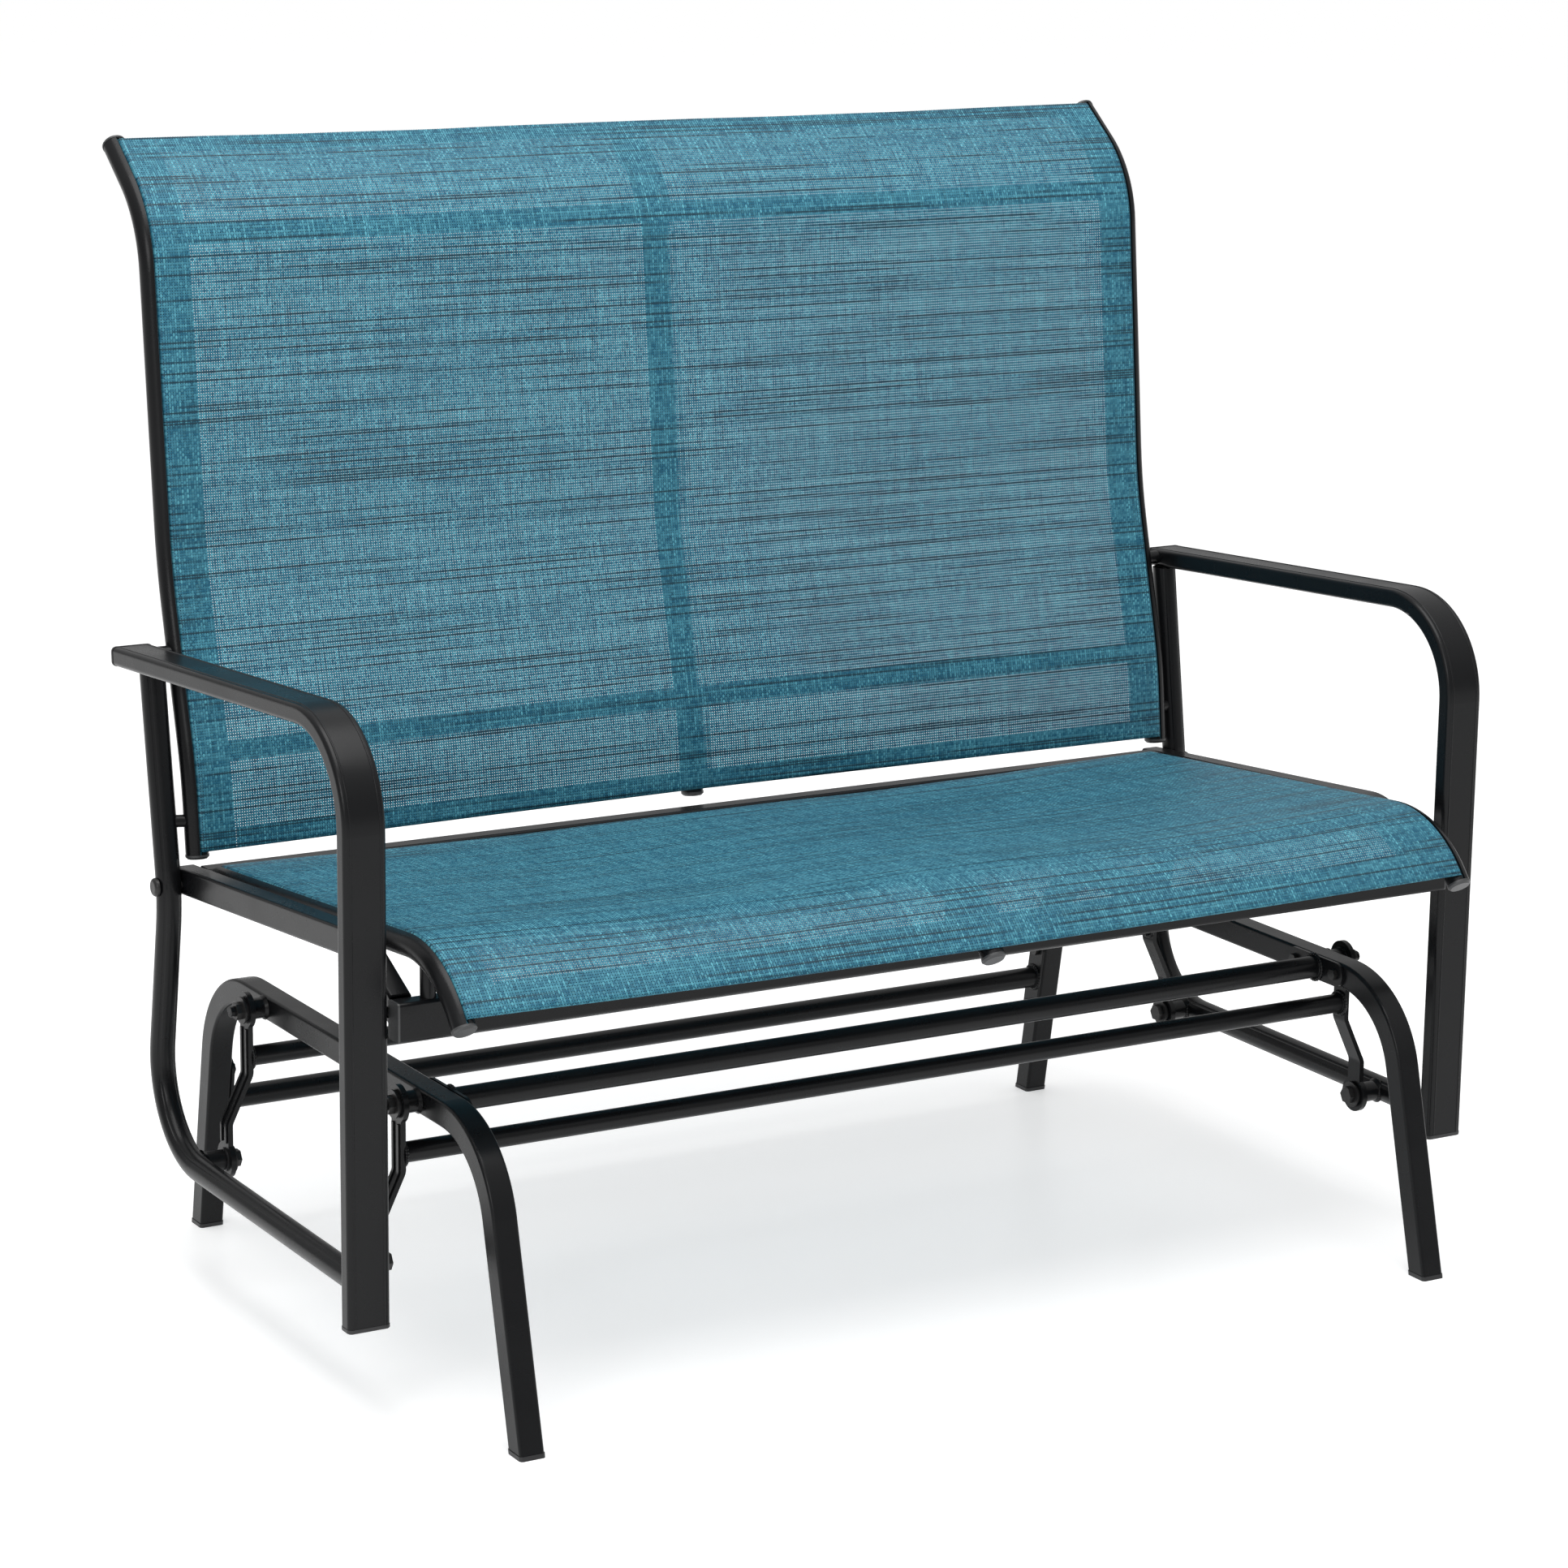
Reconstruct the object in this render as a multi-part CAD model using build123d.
from build123d import *
import math
import os

os.makedirs("parts", exist_ok=True)

# ---------------------------------------------------------------- driving dimensions (mm)
# Base side frames: bent square tube standing on the floor
BASE_X = 487.0            # centre of each side frame from the middle of the glider
BASE_TUBE = 24.0          # square tube, outside
BASE_WALL = 1.5
BASE_CORNER = 3.0         # rounding of the square tube's own corners
RAIL_Z = 269.0            # height of the base rail's centre, and of the upper pivots
BEND_R = 94.0             # centre line radius of the leg bends
FRONT_FOOT_Y = -365.6     # where the front leg's centre line meets the floor
FRONT_BEND_Y = -296.5     # where it would meet the rail
REAR_BEND_Y = 287.4
REAR_FOOT_Y = 333.8
FOOT_CAP_T = 4.0          # plastic under each foot
CAP_PROUD = 0.6           # how far a foot cap stands outside its tube
PLUG_GAP = 0.1            # plug of a cap inside its tube, all round

# Cross tubes of the base, held by flange plates
CROSS_R = 11.0
CROSS_WALL = 1.5
FRONT_CROSS_Y = -189.0
REAR_CROSS_Z = 134.0
FLANGE_T = 3.0
FLANGE_L = 90.0
FLANGE_BOLT_PITCH = 64.0  # between the two bolts of one plate
BOLT_R = 3.0              # M6 shank
BOLT_FREE = 0.2           # radial room around a bolt in a plate or a wall
BOLT_FIT = 0.03           # radial room around a bolt in its nut

# Pivots and swing links
FRONT_PIVOT_Y = -176.0
REAR_PIVOT_Y = 158.0
LINK_L = 144.0            # upper pivot to lower pivot
LINK_T = 5.0
LINK_TOP_X = 517.0        # centre of the link plate at its upper head
LINK_LOW_X = 539.0        # the same at its lower head
LINK_HEAD_R = 17.5
LINK_STEM = 19.0
LINK_TUBE_R = 9.5
LINK_TUBE_DROP = 46.0     # link tube below the upper pivots
PIN_R = 5.0               # pivot bolts
PIN_FIT = 0.05            # radial room of a pin in its bearing
BEARING_R = 8.0
BEARING_FIT = 0.02        # radial room of a bearing in the link
BEARING_FLANGE_R = 11.5
BEARING_FLANGE_T = 1.6
FACE_GAP = 0.35           # beside a turning face
BOSS_R = 10.0
NUT_H = 6.0
NUT_AF = 15.0
WASHER_R = 13.0
WASHER_T = 1.5

# Seat carriage
SIDE_X = 574.0            # bent side tube: upright and lower rail
SIDE_R = 12.0
SIDE_WALL = 1.5
POST_X = 586.0            # arm and front post, one flat tube
POST_W = 40.0
POST_T = 18.0
POST_WALL = 1.6
POST_R = 4.5
POST_Y = -253.0
POST_BOTTOM = 96.0
ARM_SLOPE = 0.0635        # the arm falls this much per millimetre towards the back
ARM_CORNER_Z = 631.4
ARM_END_Y = 255.0
ARM_BEND_R = 88.0
END_CAP_T = 4.0

SEAT_SIDE_X = 551.5       # seat side rails, rectangular tube
SEAT_W = 21.0
SEAT_H = 25.5
SEAT_WALL = 1.5
SEAT_REAR_END_Y = 216.0
SEAT_BEND_Y = -175.0
SEAT_BEND_Z = 419.0
SEAT_SLOPE = 0.0807
FRONT_RAIL_Y = -264.5
FRONT_RAIL_D = 20.0
FRONT_RAIL_Z0 = 355.5
FRONT_RAIL_Z1 = 390.5
FRONT_RAIL_HALF = 561.0
REAR_RAIL_Y = 194.5

# Sling rails (grooved tube) of the seat and the back
SLING_R = 11.0
SEAT_SLING_X = 530.0
SEAT_CENTER_DROP = 5.0
BACK_SLING_X = 546.0
BACK_CENTER_SET = 26.0    # centre back rail behind the outer ones
GROOVE_BEAD_R = 2.7
GROOVE_W = 2.4
GROOVE_Y = 6.2
BEAD_R = 2.3
CAP_T = 4.0
SPREADER_R = 9.75
SPREADER_BOW = 38.0
UPPER_SPREADER_Z = 985.0
LOWER_SPREADER_Z = 505.5
SLING_T = 1.4
SLING_GAP = 0.5           # sling in front of its rails
SLING_IN = 2.0            # the sling stops this far inside each outer rail's centre
TIE_R = 2.5               # M5 tie between post and seat side rail

# The pieces are drawn about the swing's own middle; this puts the origin under the overall box
Y_SHIFT = -3.8

# Centre lines, as (y, z) corner points with a bend radius at every inner corner
LEG_FALL_F = (FRONT_FOOT_Y - FRONT_BEND_Y) / RAIL_Z
LEG_FALL_R = (REAR_FOOT_Y - REAR_BEND_Y) / RAIL_Z
BASE_LINE = [
    (FRONT_FOOT_Y + LEG_FALL_F * 30, -30),
    (FRONT_BEND_Y, RAIL_Z),
    (REAR_BEND_Y, RAIL_Z),
    (REAR_FOOT_Y + LEG_FALL_R * 30, -30),
]
LOW_Z = RAIL_Z - LINK_L
SIDE_LINE = [(237.6, 612.0), (201.5, 372.0), (243.7, LOW_Z), (POST_Y + POST_T / 2, LOW_Z)]
SIDE_BENDS = [180.0, 89.0]
ARM_LINE = [
    (POST_Y, POST_BOTTOM + END_CAP_T),
    (POST_Y, ARM_CORNER_Z),
    (ARM_END_Y - END_CAP_T, ARM_CORNER_Z - ARM_SLOPE * (ARM_END_Y - END_CAP_T - POST_Y)),
]
SEAT_FRONT_Y = FRONT_RAIL_Y + FRONT_RAIL_D / 2
SEAT_LINE = [
    (SEAT_REAR_END_Y, SEAT_BEND_Z - SEAT_SLOPE * (SEAT_REAR_END_Y - SEAT_BEND_Y)),
    (SEAT_BEND_Y, SEAT_BEND_Z),
    (SEAT_FRONT_Y - 10, SEAT_BEND_Z - 0.5 * (SEAT_BEND_Y - SEAT_FRONT_Y + 10)),
]
SEAT_SLING_LINE = [(REAR_RAIL_Y - SEAT_W / 2, 393.5), (-290.6, 433.6), (-334.0, 380.0)]
SEAT_SLING_BEND = [112.0]
BACK_LINE = [(200.5, 414.0), (209.0, 491.0), (258.0, 680.0), (290.0, 1001.0), (369.0, 1062.0)]
BACK_BENDS = [400.0, 500.0, 112.0]
# The middle rail stops a little short, so the sling's top hem covers its end
BACK_CENTER_LINE = BACK_LINE[:-1] + [(351.6, 1048.6)]


# ---------------------------------------------------------------- building helpers
def line_yz(points, bends):
    """A centre line in the plane X = 0: straight runs between corners, rounded by each bend."""
    if len(points) == 2:
        return Polyline(*[(0, y, z) for y, z in points])
    return FilletPolyline(*[(0, y, z) for y, z in points], radius=bends)


def run_along(path, section):
    """A section pushed along a centre line; the section's own x stays along X."""
    start = Plane(origin=path @ 0, x_dir=(1, 0, 0), z_dir=path % 0)
    return sweep(sections=start * section, path=path)


def ring(outer, inner):
    """A round tube's section."""
    return Circle(outer) - Circle(inner)


def box_at(x0, x1, y0, y1, z0, z1):
    """A box given by its six faces."""
    block = Box(x1 - x0, y1 - y0, z1 - z0)
    return Pos((x0 + x1) / 2, (y0 + y1) / 2, (z0 + z1) / 2) * block


def rod_x(x0, x1, y, z, radius):
    """A round bar along X from x0 to x1."""
    return Pos((x0 + x1) / 2, y, z) * Rot(0, 90, 0) * Cylinder(radius, abs(x1 - x0))


def hex_x(x0, x1, y, z, across):
    """A hexagon bar along X, given across its flats."""
    plane = Plane(origin=(min(x0, x1), y, z), x_dir=(0, 1, 0), z_dir=(1, 0, 0))
    return extrude(plane * RegularPolygon(across / math.sqrt(3), 6), abs(x1 - x0))


def dome_x(x0, height, y, z, radius):
    """A low domed bolt head whose flat side lies at x0; it rises by height along X."""
    head = rod_x(x0, x0 + height, y, z, radius)
    crown = max(head.faces().filter_by(GeomType.PLANE), key=lambda f: f.center().X * height)
    return fillet(crown.edges(), abs(height) * 0.8)


def both(shape):
    """The shape and its mirror image on the other side of the glider."""
    return [shape, mirror(shape, about=Plane.YZ)]


def save(name, shapes):
    """Write one node; several solids of one node go in one file."""
    solids = []
    for shape in shapes:
        solids += list((Pos(0, Y_SHIFT, 0) * shape).solids())
    if len(solids) == 1:
        export_step(solids[0], "parts/" + name + ".step")
    else:
        export_step(Compound(children=solids), "parts/" + name + ".step")


def save_pair(name, right):
    """Write the right-hand piece and its mirror image as two nodes."""
    save(name + "_right", [right])
    save(name + "_left", [mirror(right, about=Plane.YZ)])


# ---------------------------------------------------------------- base side frames
floor_cut = box_at(-700, 700, -600, 600, -100, FOOT_CAP_T)
square = RectangleRounded(BASE_TUBE, BASE_TUBE, BASE_CORNER)
square_hole = RectangleRounded(
    BASE_TUBE - 2 * BASE_WALL, BASE_TUBE - 2 * BASE_WALL, BASE_CORNER - BASE_WALL
)
base_path = line_yz(BASE_LINE, BEND_R)
side_frame = Pos(BASE_X, 0, 0) * run_along(base_path, square - square_hole)
side_frame = side_frame - floor_cut

# Holes in the inner wall for the flange bolts
rear_leg_y = REAR_BEND_Y + (RAIL_Z - REAR_CROSS_Z) / RAIL_Z * (REAR_FOOT_Y - REAR_BEND_Y)
lean = math.atan2(REAR_FOOT_Y - REAR_BEND_Y, RAIL_Z)
half = FLANGE_BOLT_PITCH / 2
bolt_spots = [
    (FRONT_CROSS_Y - half, RAIL_Z),
    (FRONT_CROSS_Y + half, RAIL_Z),
    (rear_leg_y - half * math.sin(lean), REAR_CROSS_Z + half * math.cos(lean)),
    (rear_leg_y + half * math.sin(lean), REAR_CROSS_Z - half * math.cos(lean)),
]
WALL_X = BASE_X - BASE_TUBE / 2
for y, z in bolt_spots:
    side_frame = side_frame - rod_x(WALL_X - 1, WALL_X + BASE_WALL + 1, y, z, BOLT_R + BOLT_FREE)
save_pair("base_side_frame", side_frame)


def foot_cap(foot_y, fall):
    """A moulded cap: a shoe under the tube's end and a plug inside the tube."""
    axis = Vector(0, fall, -1).normalized()
    cap_plane = Plane(origin=(BASE_X, foot_y - fall * 40, 40), x_dir=(1, 0, 0), z_dir=axis)
    wide = BASE_TUBE + 2 * CAP_PROUD
    narrow = BASE_TUBE - 2 * BASE_WALL - 2 * PLUG_GAP
    shoe = extrude(cap_plane * RectangleRounded(wide, wide, BASE_CORNER + CAP_PROUD), 80)
    plug = extrude(cap_plane * RectangleRounded(narrow, narrow, 1.2), 80)
    shoe = shoe & box_at(-700, 700, -600, 600, 0, FOOT_CAP_T)
    plug = plug & box_at(-700, 700, -600, 600, FOOT_CAP_T - 1, FOOT_CAP_T + 14)
    return shoe + plug


foot_caps = both(foot_cap(FRONT_FOOT_Y, LEG_FALL_F)) + both(foot_cap(REAR_FOOT_Y, LEG_FALL_R))
save("base_foot_caps", foot_caps)

# ---------------------------------------------------------------- base cross tubes and flanges
FLANGE_X = WALL_X - FLANGE_T


def cross_tube(y, z):
    """A round tube between the two flange plates, with a weld bead at each end."""
    tube = rod_x(-FLANGE_X, FLANGE_X, y, z, CROSS_R) - rod_x(
        -FLANGE_X - 1, FLANGE_X + 1, y, z, CROSS_R - CROSS_WALL
    )
    for side in (-1, 1):
        bead = Pos(side * (FLANGE_X - 1.2), y, z) * Rot(0, 90 * side, 0)
        bead = bead * Cone(CROSS_R, CROSS_R + 1.6, 2.4)
        hole = rod_x(side * (FLANGE_X - 4), side * (FLANGE_X + 1), y, z, CROSS_R - 0.5)
        tube = tube + (bead - hole)
    return tube


save("base_front_tube", [cross_tube(FRONT_CROSS_Y, RAIL_Z)])
save("base_rear_tube", [cross_tube(rear_leg_y, REAR_CROSS_Z)])


def flange(y, z, turn):
    """A flat plate with round ends and two bolt holes, against the inner wall of a frame."""
    plane = Plane(origin=(FLANGE_X, y, z), x_dir=(0, 1, 0), z_dir=(1, 0, 0))
    outline = SlotOverall(FLANGE_L, BASE_TUBE)
    for side in (-1, 1):
        outline = outline - Pos(side * half, 0) * Circle(BOLT_R + BOLT_FREE)
    return extrude(plane * Rot(0, 0, turn) * outline, FLANGE_T)


flange_front = flange(FRONT_CROSS_Y, RAIL_Z, 0)
flange_rear = flange(rear_leg_y, REAR_CROSS_Z, -90 + math.degrees(lean))
save("base_tube_flanges", both(flange_front) + both(flange_rear))

flange_bolts = []
weld_nuts = []
for y, z in bolt_spots:
    head = hex_x(FLANGE_X - 4, FLANGE_X, y, z, 10)
    bolt = head + rod_x(FLANGE_X - 1, FLANGE_X + 14, y, z, BOLT_R)
    flange_bolts += both(bolt)
    nut_x = WALL_X + BASE_WALL
    nut = hex_x(nut_x, nut_x + 5, y, z, 10) - rod_x(nut_x - 1, nut_x + 6, y, z, BOLT_R + BOLT_FIT)
    weld_nuts += both(nut)
save("base_flange_bolts", flange_bolts)
save("base_weld_nuts", weld_nuts)

# ---------------------------------------------------------------- upper pivots
RAIL_OUT = BASE_X + BASE_TUBE / 2
BEARING_HALF = LINK_T / 2 + BEARING_FLANGE_T
TOP_IN = LINK_TOP_X - BEARING_HALF - FACE_GAP
TOP_OUT = LINK_TOP_X + BEARING_HALF + FACE_GAP
PIVOT_YS = [FRONT_PIVOT_Y, REAR_PIVOT_Y]

upper_bosses = []
upper_washers = []
upper_nuts = []
for y in PIVOT_YS:
    weld = Pos(RAIL_OUT + 1.5, y, RAIL_Z) * Rot(0, 90, 0) * Cone(BOSS_R + 2, BOSS_R, 3)
    stud = rod_x(RAIL_OUT + 2, TOP_OUT + WASHER_T + NUT_H + 5, y, RAIL_Z, PIN_R)
    upper_bosses += both(rod_x(RAIL_OUT, TOP_IN, y, RAIL_Z, BOSS_R) + weld + stud)
    bore = rod_x(TOP_OUT - 1, TOP_OUT + 20, y, RAIL_Z, PIN_R + PIN_FIT)
    upper_washers += both(rod_x(TOP_OUT, TOP_OUT + WASHER_T, y, RAIL_Z, WASHER_R) - bore)
    nut_x = TOP_OUT + WASHER_T
    upper_nuts += both(hex_x(nut_x, nut_x + NUT_H, y, RAIL_Z, NUT_AF) - bore)
save("upper_pivot_studs", upper_bosses)
save("upper_pivot_washers", upper_washers)
save("upper_pivot_nuts", upper_nuts)

# ---------------------------------------------------------------- swing links
LINK_TUBE_Z = RAIL_Z - LINK_TUBE_DROP
JOG_TOP = RAIL_Z - 62.0
JOG_LOW = LOW_Z + 36.0


def link_strip(shift, thick):
    """The link seen from the front: a strip that steps outwards below the link tube."""
    inner = [
        (LINK_TOP_X - LINK_T / 2 + shift, RAIL_Z + 30),
        (LINK_TOP_X - LINK_T / 2 + shift, JOG_TOP),
        (LINK_LOW_X - LINK_T / 2 + shift, JOG_LOW),
        (LINK_LOW_X - LINK_T / 2 + shift, LOW_Z - 30),
    ]
    outer = [(x + thick, z) for x, z in reversed(inner)]
    corners = inner + outer
    radii = [0, 14, 9, 0, 0, 14, 9, 0]
    outline = FilletPolyline(*corners, radius=radii, close=True)
    face = make_face(Plane.XZ * outline)
    return extrude(face, 60, both=True)


def link_plate(y):
    """One pressed link: two round heads, a waisted stem with two ribs, and bearing holes."""
    plane = Plane(origin=(0, y, 0), x_dir=(0, 1, 0), z_dir=(1, 0, 0))
    middle = (RAIL_Z + LOW_Z) / 2
    outline = Pos(0, RAIL_Z) * Circle(LINK_HEAD_R) + Pos(0, LOW_Z) * Circle(LINK_HEAD_R)
    outline = outline + Pos(0, middle) * Rectangle(LINK_STEM, LINK_L)
    blank = extrude(plane * outline, 700)
    plate = blank & (Pos(0, y, 0) * link_strip(0, LINK_T))
    rib_line = Pos(0, middle) * Rectangle(LINK_STEM - 5, LINK_L - 2 * LINK_HEAD_R)
    rib_line = rib_line - Pos(0, middle) * Rectangle(LINK_STEM - 12, LINK_L)
    ribs = extrude(plane * rib_line, 700) & (Pos(0, y, 0) * link_strip(0, LINK_T + 1.4))
    plate = plate + ribs
    for z in (RAIL_Z, LOW_Z):
        plate = plate - rod_x(480, 600, y, z, BEARING_R + BEARING_FIT)
    return plate


def bearing(x, y, z):
    """A flanged bearing pushed into a link head."""
    body = rod_x(x - BEARING_HALF, x + BEARING_HALF, y, z, BEARING_R)
    for side in (-1, 1):
        body = body + rod_x(
            x + side * LINK_T / 2, x + side * BEARING_HALF, y, z, BEARING_FLANGE_R
        )
    return body - rod_x(x - 20, x + 20, y, z, PIN_R + PIN_FIT)


for name, y in (("front", FRONT_PIVOT_Y), ("rear", REAR_PIVOT_Y)):
    save_pair(name + "_link", link_plate(y))
    end = LINK_TOP_X - LINK_T / 2
    tube = rod_x(-end, end, y, LINK_TUBE_Z, LINK_TUBE_R)
    tube = tube - rod_x(-end - 1, end + 1, y, LINK_TUBE_Z, LINK_TUBE_R - 1.5)
    for side in (-1, 1):
        bead = Pos(side * (end - 1.2), y, LINK_TUBE_Z) * Rot(0, 90 * side, 0)
        bead = bead * Cone(LINK_TUBE_R, LINK_TUBE_R + 1.6, 2.4)
        tube = tube + (bead - rod_x(side * (end - 4), side * (end + 1), y, LINK_TUBE_Z, 9))
    save(name + "_link_tube", [tube])
    bearings = both(bearing(LINK_TOP_X, y, RAIL_Z)) + both(bearing(LINK_LOW_X, y, LOW_Z))
    save(name + "_link_bearings", bearings)

# ---------------------------------------------------------------- arm and front post
arm_path = line_yz(ARM_LINE, ARM_BEND_R)
flat = RectangleRounded(POST_W, POST_T, POST_R)
for side in (-1, 1):
    for face in (-1, 1):
        flat = flat + Pos(side * (POST_W / 2 - 6), face * (POST_T / 2 - 0.4)) * Circle(1.0)
flat_hole = RectangleRounded(
    POST_W - 2 * POST_WALL, POST_T - 2 * POST_WALL, POST_R - POST_WALL
)
arm_solid = Pos(POST_X, 0, 0) * run_along(arm_path, flat)
arm_post = Pos(POST_X, 0, 0) * run_along(arm_path, flat - flat_hole)


def flat_cap(path, at_end):
    """A moulded cap that closes an end of the flat arm tube, with its plug."""
    where = 1 if at_end else 0
    out = path % where if at_end else (path % where) * -1
    spot = path @ where
    plane = Plane(origin=(POST_X, spot.Y, spot.Z), x_dir=(1, 0, 0), z_dir=out)
    head = extrude(plane * RectangleRounded(POST_W + 0.8, POST_T + 0.8, POST_R + 0.4), END_CAP_T)
    rim = head.faces().sort_by(Axis(plane.origin, plane.z_dir))[-1]
    head = fillet(rim.edges(), 1.5)
    plug = RectangleRounded(POST_W - 2 * POST_WALL - 0.2, POST_T - 2 * POST_WALL - 0.2, POST_R - POST_WALL)
    return head + extrude(plane * plug, -12)


# Spacer and bolt between post and seat side rail
SEAT_SIDE_OUT = SEAT_SIDE_X + SEAT_W / 2
SEAT_SIDE_IN = SEAT_SIDE_X - SEAT_W / 2
POST_IN = POST_X - POST_W / 2
TIE_Z = (FRONT_RAIL_Z0 + FRONT_RAIL_Z1) / 2 + 4
TIE_Y = SEAT_FRONT_Y + 5.3
tie_hole = rod_x(SEAT_SIDE_IN - 2, POST_IN + 5, TIE_Y, TIE_Z, TIE_R + BOLT_FREE)
arm_post = arm_post - tie_hole
save("arm_end_caps", both(flat_cap(arm_path, True)))
save("post_end_caps", both(flat_cap(arm_path, False)))

# ---------------------------------------------------------------- side tubes
side_path = line_yz(SIDE_LINE, SIDE_BENDS)
flute = Circle(SIDE_R)
for angle in (-52, 52, 128, 232):
    far = SIDE_R + 3.4
    spot = (far * math.cos(math.radians(angle)), far * math.sin(math.radians(angle)))
    flute = flute - Pos(*spot) * Circle(4.0)
side_tube = Pos(SIDE_X, 0, 0) * run_along(side_path, flute - Circle(SIDE_R - SIDE_WALL - 0.6))
side_tube = side_tube - arm_solid
UNDER_ARM_Z = ARM_CORNER_Z - ARM_SLOPE * (235 - POST_Y) - POST_T / 2 - 1.0
above_arm = box_at(500, 650, 150, 300, UNDER_ARM_Z, 800)
side_tube = side_tube - above_arm

# ---------------------------------------------------------------- lower pivots
SIDE_IN = SIDE_X - SIDE_R
LOW_OUT = LINK_LOW_X + BEARING_HALF + FACE_GAP
LOW_IN = LINK_LOW_X - BEARING_HALF - FACE_GAP
side_bore = [rod_x(400, SIDE_X + 5, y, LOW_Z, PIN_R + BOLT_FREE) for y in PIVOT_YS]
rail_block = Pos(SIDE_X, 0, 0) * run_along(side_path, Circle(SIDE_R))
lower_bosses = []
lower_bolts = []
lower_washers = []
for y, bore in zip(PIVOT_YS, side_bore):
    side_tube = side_tube - bore
    boss = rod_x(LOW_OUT, SIDE_X, y, LOW_Z, BOSS_R)
    weld = Pos(SIDE_IN + 0.5, y, LOW_Z) * Rot(0, 90, 0) * Cone(BOSS_R, BOSS_R + 2.5, 4)
    boss = (boss + weld - rail_block) - rod_x(500, 600, y, LOW_Z, PIN_R + BOLT_FIT)
    lower_bosses += both(boss)
    head_x = LOW_IN - WASHER_T
    bolt = hex_x(head_x - NUT_H, head_x, y, LOW_Z, NUT_AF)
    bolt = bolt + rod_x(head_x - 1, SIDE_X + 2, y, LOW_Z, PIN_R)
    lower_bolts += both(bolt)
    washer = rod_x(head_x, LOW_IN, y, LOW_Z, WASHER_R)
    lower_washers += both(washer - rod_x(500, 600, y, LOW_Z, PIN_R + PIN_FIT))
save("lower_pivot_bosses", lower_bosses)
save("lower_pivot_bolts", lower_bolts)
save("lower_pivot_washers", lower_washers)

# ---------------------------------------------------------------- seat frame
seat_path = line_yz(SEAT_LINE, 60.0)
seat_outer = RectangleRounded(SEAT_W, SEAT_H, 3)
seat_inner = RectangleRounded(SEAT_W - 2 * SEAT_WALL, SEAT_H - 2 * SEAT_WALL, 1.5)
seat_rail = Pos(SEAT_SIDE_X, 0, 0) * run_along(seat_path, seat_outer - seat_inner)
front_block = box_at(-700, 700, SEAT_FRONT_Y - 60, SEAT_FRONT_Y, 250, 450)
seat_rail = seat_rail - front_block

tube_z = (FRONT_RAIL_Z0 + FRONT_RAIL_Z1) / 2
tube_h = FRONT_RAIL_Z1 - FRONT_RAIL_Z0
rail_plane = Plane(origin=(-FRONT_RAIL_HALF, FRONT_RAIL_Y, tube_z), x_dir=(0, 1, 0), z_dir=(1, 0, 0))
rail_section = RectangleRounded(FRONT_RAIL_D, tube_h, 3)
rail_hole = RectangleRounded(FRONT_RAIL_D - 3, tube_h - 3, 1.5)
front_rail = extrude(rail_plane * (rail_section - rail_hole), 2 * FRONT_RAIL_HALF)

rear_z = SEAT_BEND_Z - SEAT_SLOPE * (REAR_RAIL_Y - SEAT_BEND_Y)
rear_plane = Plane(
    origin=(-SEAT_SIDE_IN, REAR_RAIL_Y, rear_z), x_dir=(0, 1, 0), z_dir=(1, 0, 0)
)
rear_rail = extrude(rear_plane * (seat_outer - seat_inner), 2 * SEAT_SIDE_IN)

# Front rail end caps
front_caps = []
cap_plane = Plane(origin=(FRONT_RAIL_HALF, FRONT_RAIL_Y, tube_z), x_dir=(0, 1, 0), z_dir=(1, 0, 0))
cap_head = extrude(cap_plane * rail_section, 2)
cap_plug = extrude(cap_plane * RectangleRounded(FRONT_RAIL_D - 3.2, tube_h - 3.2, 1.4), -10)
front_caps = both(cap_head + cap_plug)
save("front_rail_caps", front_caps)

# Ties: post to seat side rail, side tube to seat side rail
post_spacer = rod_x(SEAT_SIDE_OUT, POST_IN, TIE_Y, TIE_Z, 5.0) - tie_hole
save("post_spacers", both(post_spacer))
seat_rail = seat_rail - tie_hole
tie_bolt = hex_x(SEAT_SIDE_IN - 4, SEAT_SIDE_IN, TIE_Y, TIE_Z, 8)
tie_bolt = tie_bolt + rod_x(SEAT_SIDE_IN - 1, POST_IN + 5, TIE_Y, TIE_Z, TIE_R)
save("post_tie_bolts", both(tie_bolt))

SEAT_TIE_Z = 386.0
seat_tie_y = 201.5 + (SEAT_TIE_Z - 372.0) * (237.6 - 201.5) / (612.0 - 372.0)
nut_out = SEAT_SIDE_OUT - SEAT_WALL
tie = rod_x(SEAT_SIDE_X, SIDE_X + SIDE_R + 2, seat_tie_y, SEAT_TIE_Z, 4.0)
tie_free = rod_x(SEAT_SIDE_X + 4, SIDE_X + SIDE_R + 8, seat_tie_y, SEAT_TIE_Z, 4.0 + BOLT_FREE)
side_tube = side_tube - tie_free
seat_rail = seat_rail - tie_free
dome = dome_x(SIDE_X + SIDE_R, 4.5, seat_tie_y, SEAT_TIE_Z, 9.0)
nut = hex_x(nut_out - 5.5, nut_out, seat_tie_y, SEAT_TIE_Z, 13)
nut = nut - rod_x(nut_out - 9, nut_out + 3, seat_tie_y, SEAT_TIE_Z, 4.0 + BOLT_FIT)
save("seat_tie_bolts", both(dome + tie))
save("seat_tie_nuts", both(nut))

# ---------------------------------------------------------------- sling rails
def grooved(turn):
    """Sling rail section: a round tube with a bead groove that opens towards the sling."""
    housing = Pos(0, GROOVE_Y) * Circle(GROOVE_BEAD_R + 1.5)
    cavity = Circle(SLING_R - 1.6) - housing
    mouth = Pos(0, GROOVE_Y + 4) * Rectangle(GROOVE_W, 8)
    section = Circle(SLING_R) - cavity - Pos(0, GROOVE_Y) * Circle(GROOVE_BEAD_R) - mouth
    return Rot(0, 0, turn) * section


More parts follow.
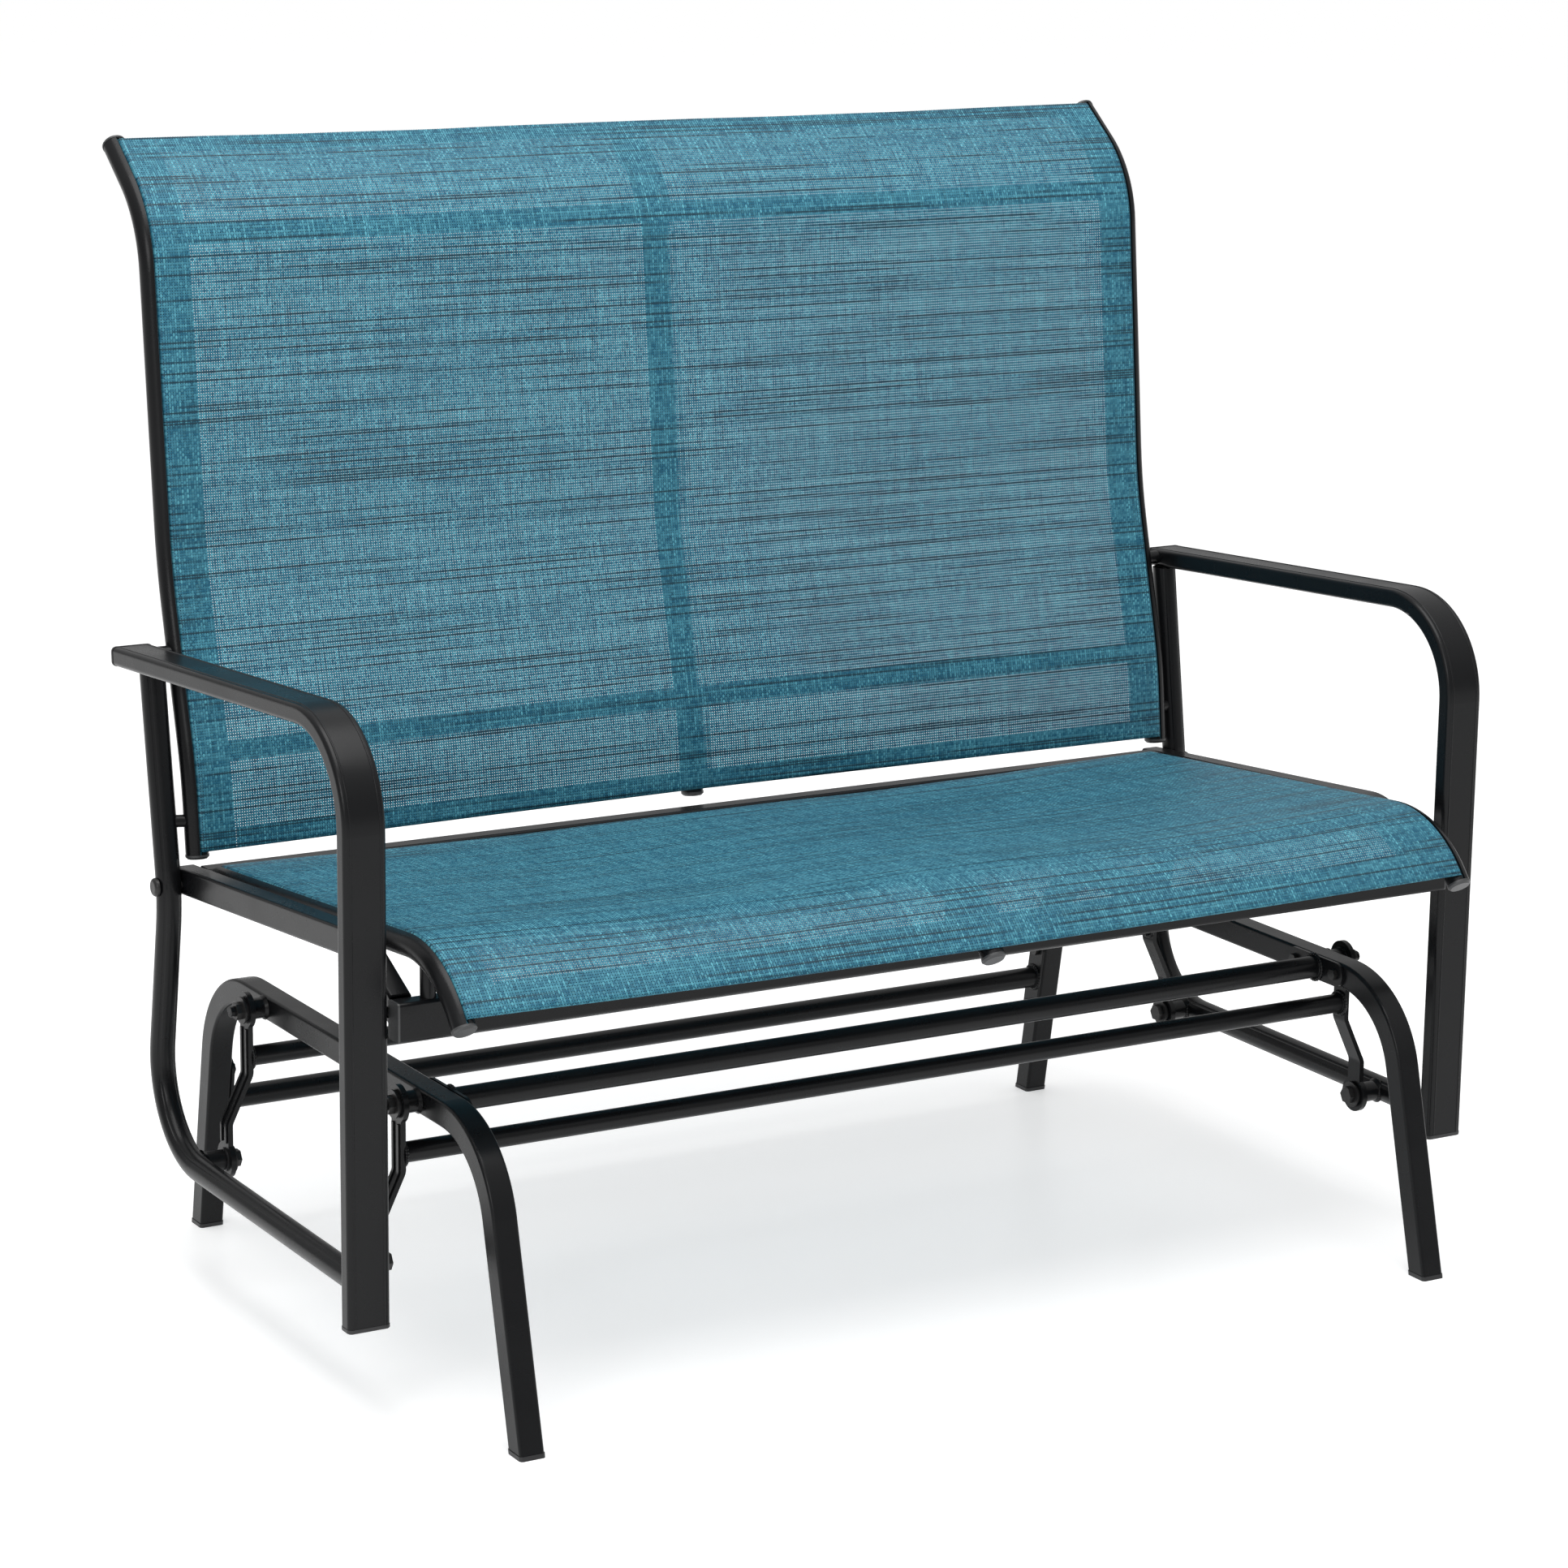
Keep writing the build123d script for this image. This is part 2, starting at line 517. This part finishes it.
def rail_cap(path, x, at_end, turn=0):
    """A plastic plug cap with a faceted face on the end of a sling rail."""
    where = 1 if at_end else 0
    out = path % where if at_end else (path % where) * -1
    spot = path @ where
    plane = Plane(origin=(x, spot.Y, spot.Z), x_dir=(1, 0, 0), z_dir=out)
    head = extrude(plane * Circle(SLING_R + 0.4), CAP_T)
    rim = head.faces().sort_by(Axis(plane.origin, plane.z_dir))[-1]
    head = chamfer(rim.edges(), 2.0)
    free_side = -3 if (turn == 0) == at_end else 3
    return head + extrude(plane * Pos(0, free_side) * Circle(4), -9)


seat_sling_path = line_yz(SEAT_SLING_LINE, SEAT_SLING_BEND)
back_path = line_yz(BACK_LINE, BACK_BENDS)
back_center_path = line_yz(BACK_CENTER_LINE, BACK_BENDS)


def normal_side(path):
    """+1 when the section's own y points up or forwards, else -1."""
    start = Plane(origin=path @ 0, x_dir=(1, 0, 0), z_dir=path % 0)
    up = start.y_dir
    return 1 if up.Z - up.Y > 0 else -1


seat_turn = 0 if normal_side(seat_sling_path) > 0 else 180
back_turn = 0 if normal_side(back_path) > 0 else 180
seat_rail_plain = run_along(seat_sling_path, grooved(seat_turn))
back_rail_plain = run_along(back_path, grooved(back_turn))
rear_block = box_at(-700, 700, REAR_RAIL_Y - SEAT_W / 2, REAR_RAIL_Y + 60, 300, 500)
seat_sling_rail = Pos(SEAT_SLING_X, 0, 0) * seat_rail_plain - rear_block
back_rail = Pos(BACK_SLING_X, 0, 0) * back_rail_plain
center_section = ring(SLING_R, SLING_R - 1.6)
seat_center = Pos(0, 0, -SEAT_CENTER_DROP) * run_along(seat_sling_path, center_section)
seat_center = seat_center - rear_block

# The centre back rail runs behind the outer rails by the same distance all the way up
SET_Y = BACK_CENTER_SET * math.cos(math.radians(8))
SET_Z = -BACK_CENTER_SET * math.sin(math.radians(8))
back_center = Pos(0, SET_Y, SET_Z) * run_along(back_center_path, center_section)
center_block = Pos(0, SET_Y, SET_Z) * run_along(back_path, Circle(SLING_R))
outer_block = Pos(BACK_SLING_X, 0, 0) * run_along(back_path, Circle(SLING_R))

seat_caps = both(rail_cap(seat_sling_path, SEAT_SLING_X, True, seat_turn))
seat_caps += [Pos(0, 0, -SEAT_CENTER_DROP) * rail_cap(seat_sling_path, 0, True)]
save("seat_rail_caps", seat_caps)
back_caps = both(rail_cap(back_path, BACK_SLING_X, True, back_turn))
back_caps += both(rail_cap(back_path, BACK_SLING_X, False, back_turn))
back_caps += [Pos(0, SET_Y, SET_Z) * rail_cap(back_center_path, 0, True)]
back_caps += [Pos(0, SET_Y, SET_Z) * rail_cap(back_path, 0, False)]
save("back_rail_caps", back_caps)


def bead_along(path, turn):
    """The cord sewn in the sling's edge, inside the rail's groove."""
    side = 1 if turn == 0 else -1
    return run_along(path, Pos(0, side * GROOVE_Y) * Circle(BEAD_R))


seat_bead = Pos(SEAT_SLING_X, 0, 0) * bead_along(seat_sling_path, seat_turn) - rear_block
back_bead = Pos(BACK_SLING_X, 0, 0) * bead_along(back_path, back_turn)
save("seat_sling_beads", both(seat_bead))
save("back_sling_beads", both(back_bead))

# ---------------------------------------------------------------- back spreaders
def point_on_back(z):
    """Centre of the outer back rail at a height, read from its straight runs."""
    for (y0, z0), (y1, z1) in zip(BACK_LINE[:-1], BACK_LINE[1:]):
        if z0 <= z <= z1:
            return y0 + (y1 - y0) * (z - z0) / (z1 - z0)
    return BACK_LINE[-1][0]


def spreader(z):
    """A round tube bowed backwards, from one outer back rail to the other behind the middle one."""
    y = point_on_back(z) + 4.0
    drop = SPREADER_BOW * 0.14
    ends = (BACK_SLING_X, y, z)
    mid = (0, y + SPREADER_BOW, z - drop)
    path = ThreePointArc((-BACK_SLING_X, y, z), mid, ends)
    start = Plane(origin=path @ 0, z_dir=path % 0)
    tube = sweep(sections=start * Circle(SPREADER_R), path=path)
    hole = sweep(sections=start * Circle(SPREADER_R - 1.5), path=path)
    blocks = center_block + outer_block + mirror(outer_block, about=Plane.YZ)
    return (tube - hole) - blocks


save("back_upper_spreader", [spreader(UPPER_SPREADER_Z)])
save("back_lower_spreader", [spreader(LOWER_SPREADER_Z)])

# ---------------------------------------------------------------- ties of the back
# A stub joins each side tube to the outer back rail low down
STUB_Z = 446.0
stub_y_back = point_on_back(STUB_Z)
stub_y_side = 201.5 + (STUB_Z - 372.0) * (237.6 - 201.5) / (612.0 - 372.0)
stub_from = Vector(SIDE_X, stub_y_side, STUB_Z)
stub_to = Vector(BACK_SLING_X, stub_y_back, STUB_Z)
stub_plane = Plane(origin=stub_from, z_dir=stub_to - stub_from)
stub = extrude(stub_plane * Circle(6), (stub_to - stub_from).length)
side_block = Pos(SIDE_X, 0, 0) * run_along(side_path, Circle(SIDE_R))
stub = stub - side_block - outer_block
save("back_rail_stubs", both(max(stub.solids(), key=lambda s: s.volume)))

# A spacer and bolt join each arm to the outer back rail
ARM_TIE_Y = 223.0
ARM_TIE_Z = ARM_CORNER_Z - ARM_SLOPE * (ARM_TIE_Y - POST_Y)
back_out = BACK_SLING_X + SLING_R
arm_tie_y = point_on_back(ARM_TIE_Z)
arm_hole = rod_x(BACK_SLING_X, POST_IN + 5, arm_tie_y, ARM_TIE_Z, BOLT_R + BOLT_FREE)
arm_post = arm_post - arm_hole
arm_spacer = rod_x(BACK_SLING_X + 2, POST_IN, arm_tie_y, ARM_TIE_Z, 7) - outer_block - arm_hole
save("arm_spacers", both(arm_spacer))
save_pair("arm_post", arm_post)
save_pair("side_tube", side_tube)
save_pair("seat_side_rail", seat_rail)

# ---------------------------------------------------------------- centre rail supports
support_y = FRONT_RAIL_Y
support_top = 434.0
support = Pos(0, support_y, (FRONT_RAIL_Z1 + support_top) / 2) * Cylinder(
    7, support_top - FRONT_RAIL_Z1
)
center_seat_block = Pos(0, 0, -SEAT_CENTER_DROP) * run_along(seat_sling_path, Circle(SLING_R))
support = support - center_seat_block
support = min(support.solids(), key=lambda s: s.center().Z)
save("seat_center_support", [support])
save("seat_front_rail", [front_rail])
save("seat_rear_rail", [rear_rail])

side_standoff = Pos(SEAT_SLING_X, support_y, (FRONT_RAIL_Z1 + 440) / 2) * Cylinder(7, 440 - FRONT_RAIL_Z1)
sling_block = Pos(SEAT_SLING_X, 0, 0) * run_along(seat_sling_path, Circle(SLING_R))
side_standoff = side_standoff - sling_block
side_standoff = min(side_standoff.solids(), key=lambda s: s.center().Z)
save("seat_rail_supports", both(side_standoff))

save_pair("seat_sling_rail", seat_sling_rail)
save("seat_sling_rail_center", [seat_center])
save_pair("back_rail", back_rail)
save("back_rail_center", [back_center])


# ---------------------------------------------------------------- slings
def strip_points(path, near, far, count, first, last, side):
    """A thin strip beside a centre line: points at two distances from it, out and back."""
    outer = []
    inner = []
    for i in range(count):
        t = first + (last - first) * i / (count - 1)
        spot = path @ t
        along = path % t
        normal = Vector(0, -along.Z, along.Y) * side
        inner.append((spot.Y + normal.Y * near, spot.Z + normal.Z * near))
        outer.append((spot.Y + normal.Y * far, spot.Z + normal.Z * far))
    return inner + outer[::-1]


def strip_face(points, x, dy, dz):
    """The strip as a flat face in the plane of the given X."""
    return make_face(Polyline(*[(x, y + dy, z + dz) for y, z in points], close=True))


def sling(path, half_width, dy, dz, count, first, last, side):
    """A sling from one side to the other, dipping in a straight line to the centre rail."""
    near = SLING_R + SLING_GAP
    points = strip_points(path, near, near + SLING_T, count, first, last, side)
    left = strip_face(points, -half_width, 0, 0)
    middle = strip_face(points, 0, dy, dz)
    right = strip_face(points, half_width, 0, 0)
    halves = loft([left, middle], ruled=True) + loft([middle, right], ruled=True)
    return halves


seat_side = 1 if (Vector(0, -(seat_sling_path % 0.5).Z, (seat_sling_path % 0.5).Y)).Z > 0 else -1
back_side = 1 if (Vector(0, -(back_path % 0.5).Z, (back_path % 0.5).Y)).Y < 0 else -1
seat_sling = sling(seat_sling_path, SEAT_SLING_X - SLING_IN, 0, -SEAT_CENTER_DROP, 64, 0.006, 0.992, seat_side)
back_sling = sling(back_path, BACK_SLING_X - SLING_IN, SET_Y, SET_Z, 80, 0.004, 0.992, back_side)
save("seat_sling", [seat_sling])
save("back_sling", [back_sling])
